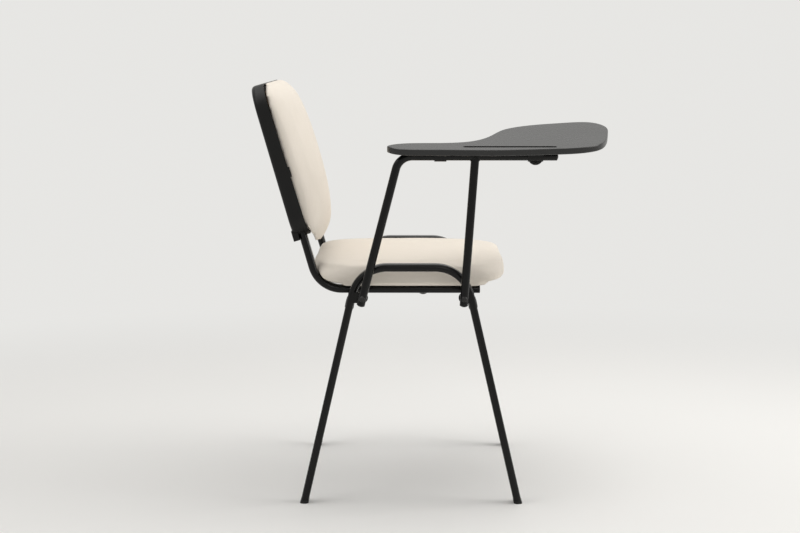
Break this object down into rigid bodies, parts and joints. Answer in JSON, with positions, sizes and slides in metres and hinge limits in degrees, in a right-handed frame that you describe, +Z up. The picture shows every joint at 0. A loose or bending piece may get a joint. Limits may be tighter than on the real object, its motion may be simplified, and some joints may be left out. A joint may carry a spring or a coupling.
{
  "type": "tablet arm chair",
  "caption": "Stacking visitor chair with padded cloth seat and back on a bent flat-oval steel frame, and a writing tablet that flips up about the rail of a one-sided arm",
  "frame": {"origin": "on the floor, under the middle of the box around the whole chair with the tablet down", "axes": "+X forward, the way the sitter faces; +Y to the sitter's left; +Z up"},
  "size_m": [0.7024, 0.606, 0.8245],
  "materials": {
    "black_steel": "satin",
    "black_plastic": "satin",
    "shell_plastic": "satin",
    "tablet_plastic": "satin",
    "bush_nylon": "satin",
    "cream_cloth": "matte",
    "foam": "matte",
    "plywood": "matte",
    "dust_cloth": "matte",
    "black_fixings": "satin",
    "zinc_steel": "satin",
    "buffer_rubber": "matte"
  },
  "bodies": {
    "chair": {"leg_frame_right": "black_steel", "leg_frame_left": "black_steel", "seat_back_rail_right": "black_steel", "seat_back_rail_left": "black_steel", "rear_cross_bar": "black_steel", "front_cross_bar": "black_steel", "arm_tab_rear": "black_steel", "arm_tab_front": "black_steel", "arm_tube": "black_steel", "arm_post": "black_steel", "tablet_stop_plate": "black_steel", "foot_cap_rear_right": "black_plastic", "foot_cap_rear_left": "black_plastic", "foot_cap_front_right": "black_plastic", "foot_cap_front_left": "black_plastic", "rail_plug_right": "black_plastic", "rail_plug_left": "black_plastic", "arm_plug_rear": "black_plastic", "arm_plug_front": "black_plastic", "arm_plug_rail": "black_plastic", "arm_spacers": "black_plastic", "back_shell": "shell_plastic", "seat_cover": "cream_cloth", "back_cover": "cream_cloth", "seat_foam": "foam", "back_foam": "foam", "seat_board": "plywood", "back_board": "plywood", "seat_dust_cover": "dust_cloth", "seat_bolts": "black_fixings", "arm_bolts": "black_fixings", "arm_nuts": "black_fixings", "shell_screws": "black_fixings", "back_bolts": "black_fixings", "seat_t_nuts": "zinc_steel", "back_t_nuts": "zinc_steel", "tablet_buffer": "buffer_rubber"},
    "tablet": {"tablet_board": "tablet_plastic", "hinge_strap": "black_steel", "hinge_clamp_outer": "black_steel", "hinge_clamp_inner": "black_steel", "hinge_bush_rear": "bush_nylon", "hinge_bush_front": "bush_nylon", "clamp_bolt": "black_fixings", "clamp_nut": "black_fixings", "tablet_screws": "black_fixings"}
  },
  "joints": [
    {"name": "tablet_flip", "type": "hinge", "parent": "chair", "child": "tablet", "pos_m": [0.0607, -0.2526, 0.6824], "axis": [1, 0, 0], "range_deg": [0, 84]}
  ]
}
